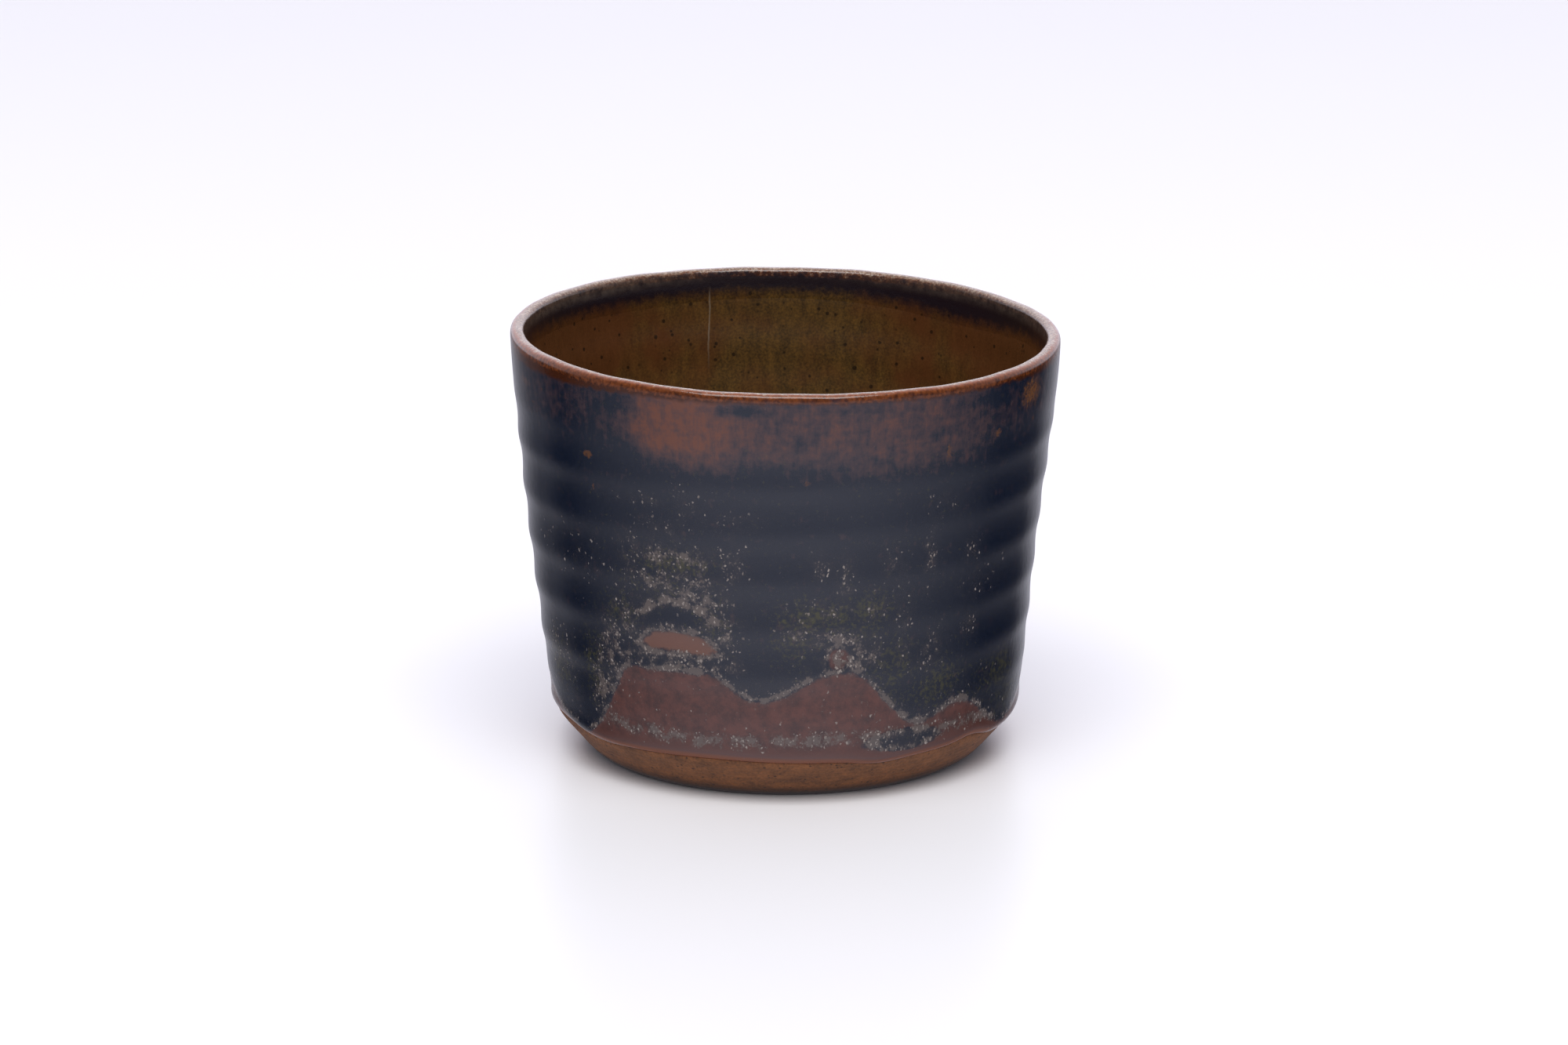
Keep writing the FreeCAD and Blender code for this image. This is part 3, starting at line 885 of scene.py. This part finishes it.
def red_band(add, in_mm, field, mottle, tone):
    """The red-brown band under the lip."""
    drawn_down = add("VectorMath", {0: in_mm, 1: (1.0, 1.0, 0.22)}, operation="MULTIPLY")
    thrown_round = add("VectorMath", {0: in_mm, 1: (0.12, 0.12, 1.0)}, operation="MULTIPLY")
    runs = add("TexNoise", {"Vector": drawn_down, "Scale": RUNS_PER_MM, "Detail": 5.0, "Roughness": 0.65})
    turns = add("TexNoise", {"Vector": thrown_round, "Scale": TURNS_PER_MM, "Detail": 3.0})
    weave = add("Math", {0: turns, 1: 0.45, 2: runs}, operation="MULTIPLY_ADD")
    weave = add("Math", {0: mottle, 1: 1.4, 2: weave}, operation="MULTIPLY_ADD")
    kaki_sum = add("Math", {0: field["kaki"], 1: 1.1, 2: weave}, operation="MULTIPLY_ADD")
    kaki = add("MapRange", {0: kaki_sum, 1: 1.60, 2: 2.68})
    kaki_depth = add("MapRange", {0: kaki_sum, 1: 2.0, 2: 2.7})
    kaki_tone = add("Mix", {0: kaki_depth, 6: linear(KAKI_THIN), 7: linear(KAKI)}, data_type="RGBA")
    return add("Mix", {0: kaki, 6: tone, 7: kaki_tone}, data_type="RGBA")


def orange_spots(add, field, tiny, tone):
    """Small spots where the glaze lies thin over a bump."""
    spot_sum = add("Math", {0: tiny, 1: 1.3, 2: field["rust_spots"]}, operation="MULTIPLY_ADD")
    spot = add("MapRange", {0: spot_sum, 1: 1.0, 2: 1.5, 4: 0.8})
    return add("Mix", {0: spot, 6: tone, 7: linear(SPOT_ORANGE)}, data_type="RGBA")


# %% [markdown]
# Near the foot the glaze broke wholly to rust. It is lighter on the arch, mauve on the roll, where
# it thickens again, and orange-red on the last half millimetre, where it thins out over the clay.

# %% Rust ground near the foot
RUST = "#5c362f"
RUST_DEEP = "#402725"
RUST_LIGHT = "#6a473b"
MAUVE = "#563833"
EDGE_RED = "#743f22"
RUST_CLOUD_PER_MM = 0.5


def rust_near_foot(add, in_mm, field, ragged, tone):
    """The rust ground with its ragged edge."""
    rust_sum = add("Math", {0: ragged, 1: 1.5, 2: field["rust"]}, operation="MULTIPLY_ADD")
    rust = add("MapRange", {0: rust_sum, 1: 0.55, 2: 1.0})
    patchy = add("TexNoise", {"Vector": in_mm, "Scale": RUST_CLOUD_PER_MM, "Detail": 6.0, "Roughness": 0.75})
    patchy_level = add("MapRange", {0: patchy, 1: 0.37, 2: 0.60})
    rust_tone = add("Mix", {0: patchy_level, 6: linear(RUST_DEEP), 7: linear(RUST)}, data_type="RGBA")
    rust_tone = add("Mix", {0: field["arch"], 6: rust_tone, 7: linear(RUST_LIGHT)}, data_type="RGBA")
    low = add("MapRange", {0: field["above_line"], 1: 1.4, 2: 2.6, 3: 1.0, 4: 0.0})
    rust_tone = add("Mix", {0: low, 6: rust_tone, 7: linear(MAUVE)}, data_type="RGBA")
    rust_edge = add("MapRange", {0: field["above_line"], 1: 0.50, 2: 0.95, 3: 0.95, 4: 0.0})
    rust_tone = add("Mix", {0: rust_edge, 6: rust_tone, 7: linear(EDGE_RED)}, data_type="RGBA")
    return add("Mix", {0: rust, 6: tone, 7: rust_tone}, data_type="RGBA")


# %% [markdown]
# Crystals are single grains where they are few, and a crust of short worms where they crowd. The
# grains are cells of a Voronoi pattern, and a grain is there if its lot is under the share of the
# surface that the field asks for. The worms are a noise cut at a level that the same share moves.

# %% Crystal masks
CRYSTALS_PER_MM = 2.5
CRUST_PER_MM = 3.4
CLUMPS_PER_MM = 0.7
WOBBLE_PER_MM = 2.2


def crystal_masks(add, in_mm, cover):
    """Masks for single crystals and for crust, the lot that makes each one paler, and the share."""
    wobble = add("TexNoise", {"Vector": in_mm, "Scale": WOBBLE_PER_MM, "Detail": 1.0})
    moved = add("VectorMath", {0: wobble.outputs["Color"], 1: [0.5] * 3, 2: in_mm}, operation="MULTIPLY_ADD")
    tall = add("VectorMath", {0: moved, 1: (1.0, 1.0, 0.72)}, operation="MULTIPLY")
    clumps = add("TexNoise", {"Vector": in_mm, "Scale": CLUMPS_PER_MM, "Detail": 2.0})
    clumped = add("MapRange", {0: clumps, 1: 0.32, 2: 0.68, 3: 0.1, 4: 1.5})
    share = add("Math", {0: cover, 1: clumped}, operation="MULTIPLY")

    grains = add("TexVoronoi", {"Vector": tall, "Scale": CRYSTALS_PER_MM}, feature="F1")
    lot = add("SeparateColor", {0: grains.outputs["Color"]})
    chance = add("Math", {0: share, 1: lot.outputs[0]}, operation="SUBTRACT")
    present = add("MapRange", {0: chance, 1: 0.0, 2: 0.12})
    size = add("MapRange", {0: lot.outputs[1], 3: 0.19, 4: 0.41})
    inside = add("Math", {0: size, 1: grains.outputs["Distance"]}, operation="SUBTRACT")
    shape = add("MapRange", {0: inside, 1: -0.06, 2: 0.10})
    single = add("Math", {0: present, 1: shape}, operation="MULTIPLY")

    worms = add("TexNoise", {"Vector": tall, "Scale": CRUST_PER_MM, "Detail": 3.0, "Roughness": 0.55})
    raised = add("Math", {0: share, 1: 0.34, 2: worms}, operation="MULTIPLY_ADD")
    crust = add("MapRange", {0: raised, 1: 0.70, 2: 0.84})
    return single, crust, lot.outputs[2], share


# %% Colour of the crystals
CRYSTAL_PALE = "#9c928b"
CRYSTAL_DIM = "#635955"
CRYSTAL_HAZE = "#463f3d"
HAZE_SHARE = 0.42
CRUST_SHARE = 0.66


def pale_crystals(add, in_mm, field, tone):
    """Haze, crust and single crystals over the tone, and the mask of the single ones."""
    single, crust, lot, share = crystal_masks(add, in_mm, field["crystals"])
    haze = add("Math", {0: share, 1: HAZE_SHARE}, operation="MULTIPLY", use_clamp=True)
    tone = add("Mix", {0: haze, 6: tone, 7: linear(CRYSTAL_HAZE)}, data_type="RGBA")
    crust_part = add("Math", {0: crust, 1: CRUST_SHARE}, operation="MULTIPLY")
    tone = add("Mix", {0: crust_part, 6: tone, 7: linear(CRYSTAL_DIM)}, data_type="RGBA")
    paleness = add("Mix", {0: lot, 6: linear(CRYSTAL_DIM), 7: linear(CRYSTAL_PALE)}, data_type="RGBA")
    return add("Mix", {0: single, 6: tone, 7: paleness}, data_type="RGBA"), single


# %% [markdown]
# Glaze drains off a rim, so the lip is brown below and orange higher up. On its very top, pale flecks
# over the clay's grains are painted highlights. All of it is told by the distance past the middle of
# the crown.

# %% The lip
LIP_BROWN = "#3c1a08"
LIP_ORANGE = "#945025"
LIP_GREY = "#6d5545"
# Colour of the painted highlights on the grains of the lip's top.
LIP_GRAIN_HIGHLIGHT = "#a18b78"
LIP_GRAIN_PER_MM = 3.0


def thin_lip(add, in_mm, field, mottle, tiny, tone):
    """Thin glaze on the lip, the share of the lip, and the bumps of its grains."""
    lip_sum = add("Math", {0: mottle, 1: 1.2, 2: field["lip_thin"]}, operation="MULTIPLY_ADD")
    lip = add("MapRange", {0: lip_sum, 1: 0.45, 2: 0.95})
    top_sum = add("Math", {0: tiny, 1: 1.8, 2: field["past_crown"]}, operation="MULTIPLY_ADD")
    upward = add("MapRange", {0: top_sum, 1: -0.3, 2: 0.95})
    lip_tone = add("Mix", {0: upward, 6: linear(LIP_BROWN), 7: linear(LIP_ORANGE)}, data_type="RGBA")
    inner_side = add("MapRange", {0: top_sum, 1: 1.4, 2: 1.9})
    lip_tone = add("Mix", {0: inner_side, 6: lip_tone, 7: linear(LIP_BROWN)}, data_type="RGBA")

    starts = add("MapRange", {0: top_sum, 1: 0.55, 2: 0.85})
    ends = add("MapRange", {0: top_sum, 1: 1.4, 2: 1.8, 3: 1.0, 4: 0.0})
    very_top = add("Math", {0: starts, 1: ends}, operation="MULTIPLY")
    lip_tone = add("Mix", {0: very_top, 6: lip_tone, 7: linear(LIP_GREY)}, data_type="RGBA")
    grain = add("TexNoise", {"Vector": in_mm, "Scale": LIP_GRAIN_PER_MM, "Detail": 2.0})
    # The pale flecks over the grains are painted highlights on the lip's top.
    grains = add("MapRange", {0: grain, 1: 0.46, 2: 0.62})
    grains = add("Math", {0: grains, 1: very_top}, operation="MULTIPLY")
    lip_tone = add("Mix", {0: grains, 6: lip_tone, 7: linear(LIP_GRAIN_HIGHLIGHT)}, data_type="RGBA")
    bumps = add("Math", {0: grain, 1: very_top}, operation="MULTIPLY")
    return add("Mix", {0: lip, 6: tone, 7: lip_tone}, data_type="RGBA"), lip, bumps


# %% [markdown]
# Inside, the lap is dark just under the lip, hazed at the sides by a painted sheen, a brown-grey
# reflection painted into its colour, and fades into the tone of the amber glaze below.

# %% The lap inside
# Colour of the painted sheen, a reflection painted on the lap.
PAINTED_SHEEN_BROWN = "#5a4d44"


def lap_inside(add, in_mm, field, mottle, lip, tone):
    """The dark lap, its painted sheen and its fade to amber."""
    inward = add("MapRange", {0: field["past_crown"], 1: 0.4, 2: 0.9})
    not_lip = add("Math", {0: 1.0, 1: lip}, operation="SUBTRACT")
    dark_lap = add("Math", {0: inward, 1: not_lip}, operation="MULTIPLY")
    tone = add("Mix", {0: dark_lap, 6: tone, 7: linear(LAP_DARK)}, data_type="RGBA")
    # Painted sheen: a brown-grey reflection mixed over the lap at its sides.
    painted_sheen = add("Math", {0: mottle, 1: 1.8, 2: -0.35}, operation="MULTIPLY_ADD", use_clamp=True)
    painted_sheen = add("Math", {0: painted_sheen, 1: field["painted_lap_sheen"]}, operation="MULTIPLY")
    tone = add("Mix", {0: painted_sheen, 6: tone, 7: linear(PAINTED_SHEEN_BROWN)}, data_type="RGBA")
    amber = amber_tone(add, in_mm)[0]
    fade = lap_fade(add, mottle, field["past_dark_lap"])
    return add("Mix", {0: fade, 6: tone, 7: amber}, data_type="RGBA")


# %% [markdown]
# The steps come together here. Crystals scatter light, so they are rougher than the glass round
# them, and they and the lip's grains stand up a little from it.

# %% Iron glaze
IRON_FIELDS = (
    "rust", "kaki", "crystals", "olive", "rust_spots", "above_line", "lip_thin", "past_dark_lap",
    "past_crown", "painted_lap_sheen", "arch",
)
TINY_PER_MM = 1.9
RAGGED_PER_MM = 1.1
IRON_ROUGHNESS = 0.17
CRYSTAL_ROUGHNESS = 0.5


def make_iron_glaze():
    """The dipped coat's finish."""
    material, add, output = new_material("dipped_tenmoku_iron_glaze")
    field = {name: add("Attribute", attribute_name=name).outputs["Fac"] for name in IRON_FIELDS}
    where = add("TexCoord").outputs["Object"]
    in_mm = add("VectorMath", {0: where, 1: [PER_MM] * 3}, operation="MULTIPLY")
    tiny = add("TexNoise", {"Vector": in_mm, "Scale": TINY_PER_MM, "Detail": 3.0, "Roughness": 0.6})
    ragged = add("TexNoise", {"Vector": in_mm, "Scale": RAGGED_PER_MM, "Detail": 4.0, "Roughness": 0.6})
    mottle = mottle_noise(add, in_mm)

    tone = thick_glaze(add, field, tiny)
    tone = red_band(add, in_mm, field, mottle, tone)
    tone = orange_spots(add, field, tiny, tone)
    tone = rust_near_foot(add, in_mm, field, ragged, tone)
    tone, single = pale_crystals(add, in_mm, field, tone)
    tone, lip, lip_bumps = thin_lip(add, in_mm, field, mottle, tiny, tone)
    tone = lap_inside(add, in_mm, field, mottle, lip, tone)

    relief = add("Math", {0: single, 1: 0.5, 2: ragged}, operation="MULTIPLY_ADD")
    relief = add("Math", {0: lip_bumps, 1: 1.2, 2: relief}, operation="MULTIPLY_ADD")
    bump = add("Bump", {"Height": relief, "Strength": 0.10, "Distance": 0.0003})
    rough = add("MapRange", {0: single, 3: IRON_ROUGHNESS, 4: CRYSTAL_ROUGHNESS})
    glass = add("BsdfPrincipled", {"Base Color": tone, "Roughness": rough, "IOR": GLAZE_IOR, "Normal": bump})
    material.node_tree.links.new(glass.outputs[0], output.inputs[0])
    return material


wear(outer_glaze, make_iron_glaze())

# %% [markdown]
# ### Bare stoneware
# Fired clay with iron in it: warm brown, dry and rough to the touch, with dark specks of iron.
# The trimming tool dragged the grit round, so the colour is drawn out along the turns. The real
# grit is about a tenth of a millimetre and is drawn three times as coarse, so that it shows. The
# lowest edge of the foot is darkened with painted shade, the contact shadow where it meets the table.

# %% Painted contact shade on the edge of the foot
# The colour of the iron specks, also used for the painted contact shade at the foot.
CLAY_SPECK_AND_SHADE = "#22170f"
PAINTED_SHADE_UP_TO = 1.7


def paint_contact_shade(add, in_mm, tone):
    """Painted shade: darken the lowest part of the foot's outside as its contact shadow, but not its
    underside.
    """
    place = add("SeparateXYZ", {0: in_mm})
    low = add("MapRange", {0: place.outputs[2], 1: 0.3, 2: PAINTED_SHADE_UP_TO, 3: 0.95, 4: 0.0})
    flat = add("VectorMath", {0: in_mm, 1: (1.0, 1.0, 0.0)}, operation="MULTIPLY")
    from_axis = add("VectorMath", {0: flat}, operation="LENGTH").outputs["Value"]
    outer_part = add("MapRange", {0: from_axis, 1: FOOT_RADIUS - 1.4, 2: FOOT_RADIUS - 0.5})
    painted_shade = add("Math", {0: low, 1: outer_part}, operation="MULTIPLY")
    return add("Mix", {0: painted_shade, 6: tone, 7: linear(CLAY_SPECK_AND_SHADE)}, data_type="RGBA")


# %% Stoneware
CLAY = "#8b5730"
CLAY_DARK = "#5a3820"
CLAY_CLOUD_PER_MM = 0.5
GRIT_PER_MM = 3.0
CLAY_SPECK_PER_MM = 1.5
CLAY_ROUGHNESS = 0.75
CLAY_IOR = 1.5


def make_stoneware():
    """The clay's finish."""
    material, add, output = new_material("bare_trimmed_stoneware")
    where = add("TexCoord").outputs["Object"]
    in_mm = add("VectorMath", {0: where, 1: [PER_MM] * 3}, operation="MULTIPLY")
    dragged = add("VectorMath", {0: in_mm, 1: (0.75, 0.75, 1.4)}, operation="MULTIPLY")
    cloud = add("TexNoise", {"Vector": dragged, "Scale": CLAY_CLOUD_PER_MM, "Detail": 6.0, "Roughness": 0.6})
    grit = add("TexNoise", {"Vector": in_mm, "Scale": GRIT_PER_MM, "Detail": 4.0})
    both = add("Math", {0: grit, 1: 0.9, 2: cloud}, operation="MULTIPLY_ADD")
    level = add("MapRange", {0: both, 1: 0.70, 2: 1.22})
    tone = add("Mix", {0: level, 6: linear(CLAY_DARK), 7: linear(CLAY)}, data_type="RGBA")
    tone = iron_specks(add, in_mm, tone, CLAY_SPECK_AND_SHADE, CLAY_SPECK_PER_MM, 0.3, 0.3, 0.05, 0.75)
    # Painted shade: the foot's lowest edge is darkened as its contact shadow.
    tone = paint_contact_shade(add, in_mm, tone)
    bump = add("Bump", {"Height": grit, "Strength": 0.4, "Distance": 0.0002})
    finish = {"Base Color": tone, "Roughness": CLAY_ROUGHNESS, "IOR": CLAY_IOR, "Normal": bump}
    dry = add("BsdfPrincipled", finish)
    material.node_tree.links.new(dry.outputs[0], output.inputs[0])
    return material


wear(clay, make_stoneware())

# %% [markdown]
# ## Stage
# The cup stands on a pale, softly shining table in a studio. The backdrop behind it is bright and
# the room in front is dim, which is why a glossy dark cup shows a thin bright edge and dark sides
# instead of a white glare. One large soft box hangs over the front.

# %% Table
TABLE_SIZE = 6.0
TABLE_WHITE = "#e7e6e8"
half = TABLE_SIZE / 2
table_mesh = bpy.data.meshes.new("table")
corners = [(-half, -half, 0), (half, -half, 0), (half, half, 0), (-half, half, 0)]
table_mesh.from_pydata(corners, [], [(0, 1, 2, 3)])
table = bpy.data.objects.new("table", table_mesh)
bpy.context.scene.collection.objects.link(table)
table.visible_glossy = False
table_material, add_to_table, table_output = new_material("pale_table")
table_finish = {"Base Color": linear(TABLE_WHITE), "Roughness": 0.35, "IOR": 1.5}
table_shader = add_to_table("BsdfPrincipled", table_finish)
table_material.node_tree.links.new(table_shader.outputs[0], table_output.inputs[0])
wear(table, table_material)

# %% [markdown]
# A real table is lit unevenly, and the gloss shows that. So the table is hidden from glossy rays,
# and the room repeats below the horizon what the glaze would see of it: bright in front, close
# under the cup and far behind it, and dark at the sides. Above the horizon is the backdrop.

# %% The light that the room sends, by direction
ROOM_TINT = (1.0, 0.985, 1.12)
world = bpy.data.worlds.new("studio")
bpy.context.scene.world = world
world.use_nodes = True
room = world.node_tree
room.nodes.clear()
add = functools.partial(add_node, room)
toward = add("SeparateXYZ", {0: add("TexCoord").outputs["Generated"]})
right, back, up = toward.outputs

front_table = add("MapRange", {0: back, 1: -0.8, 2: 0.25, 3: 0.70, 4: 0.0})
near_table = add("MapRange", {0: up, 1: -0.28, 2: -0.72, 3: 0.0, 4: 0.36})
side_table = add("MapRange", {0: back, 1: 0.42, 2: 0.62, 3: 0.0, 4: 0.08})
brighter_left = add("Math", {0: 1.0, 1: right}, operation="SUBTRACT")
side_table = add("Math", {0: side_table, 1: brighter_left}, operation="MULTIPLY")
back_table = add("MapRange", {0: back, 1: 0.72, 2: 1.0, 3: 0.0, 4: 0.55})
brighter_right = add("Math", {0: right, 1: 0.6, 2: 1.0}, operation="MULTIPLY_ADD")
back_table = add("Math", {0: back_table, 1: brighter_right}, operation="MULTIPLY")
table_light = front_table
for part in (near_table, side_table, back_table):
    table_light = add("Math", {0: table_light, 1: part}, operation="ADD")
backdrop = add("MapRange", {0: back, 1: -0.2, 2: 0.75, 3: 0.14, 4: 1.25})
above_table = add("MapRange", {0: up, 1: -0.16, 2: -0.04})
level = add("Mix", {0: above_table, 2: table_light, 3: backdrop}).outputs[0]
tinted = add("VectorMath", {0: ROOM_TINT, "Scale": level}, operation="SCALE").outputs[0]
print(f"room light: {len(room.nodes)} nodes so far")

# %% [markdown]
# What the camera sees of the room itself is plain white, so the light's pattern never shows.

# %% White behind the table
seen = add("LightPath").outputs["Is Camera Ray"]
shown = add("Mix", {0: seen, 6: tinted, 7: (1, 1, 1, 1)}, data_type="RGBA")
sky = add("Background", {"Color": shown, "Strength": 1.0})
room.links.new(sky.outputs[0], add("OutputWorld").inputs[0])

# %% Soft box
BOX_ELEVATION = math.radians(64)
BOX_DISTANCE = 1.4
BOX_SIZE = (1.4, 1.0)
BOX_POWER = 24
box_light = bpy.data.lights.new("front_top_box", "AREA")
box_light.shape = "RECTANGLE"
box_light.size, box_light.size_y = BOX_SIZE
box_light.energy = BOX_POWER
soft_box = bpy.data.objects.new("front_top_box", box_light)
bpy.context.scene.collection.objects.link(soft_box)
soft_box.location = (
    0.0,
    -BOX_DISTANCE * math.cos(BOX_ELEVATION),
    BOX_DISTANCE * math.sin(BOX_ELEVATION) + CUP_HEIGHT / 2 * MM,
)
soft_box.rotation_euler = (math.pi / 2 - BOX_ELEVATION, 0, 0)
print(f"soft box: {BOX_SIZE[0]} by {BOX_SIZE[1]} m, {BOX_POWER} W")

# %% [markdown]
# ## Camera
# A long lens looks down on the cup at a gentle angle, from the distance of a table top shot.

# %% Camera
CAMERA_PITCH = math.radians(15.5)
CAMERA_DISTANCE = 0.8311
CAMERA_AIM = (-0.0002, 0.0, 0.527 * CUP_HEIGHT * MM)
LENS_MM = 144
SENSOR_MM = 36
camera_data = bpy.data.cameras.new("camera")
camera_data.lens = LENS_MM
camera_data.sensor_width = SENSOR_MM
camera = bpy.data.objects.new("camera", camera_data)
bpy.context.scene.collection.objects.link(camera)
camera.location = (
    CAMERA_AIM[0],
    CAMERA_AIM[1] - CAMERA_DISTANCE * math.cos(CAMERA_PITCH),
    CAMERA_AIM[2] + CAMERA_DISTANCE * math.sin(CAMERA_PITCH),
)
camera.rotation_euler = (math.pi / 2 - CAMERA_PITCH, 0, 0)
bpy.context.scene.camera = camera
bpy.context.scene.view_settings.view_transform = "Standard"
print(f"camera {CAMERA_DISTANCE} m away, {LENS_MM} mm lens")
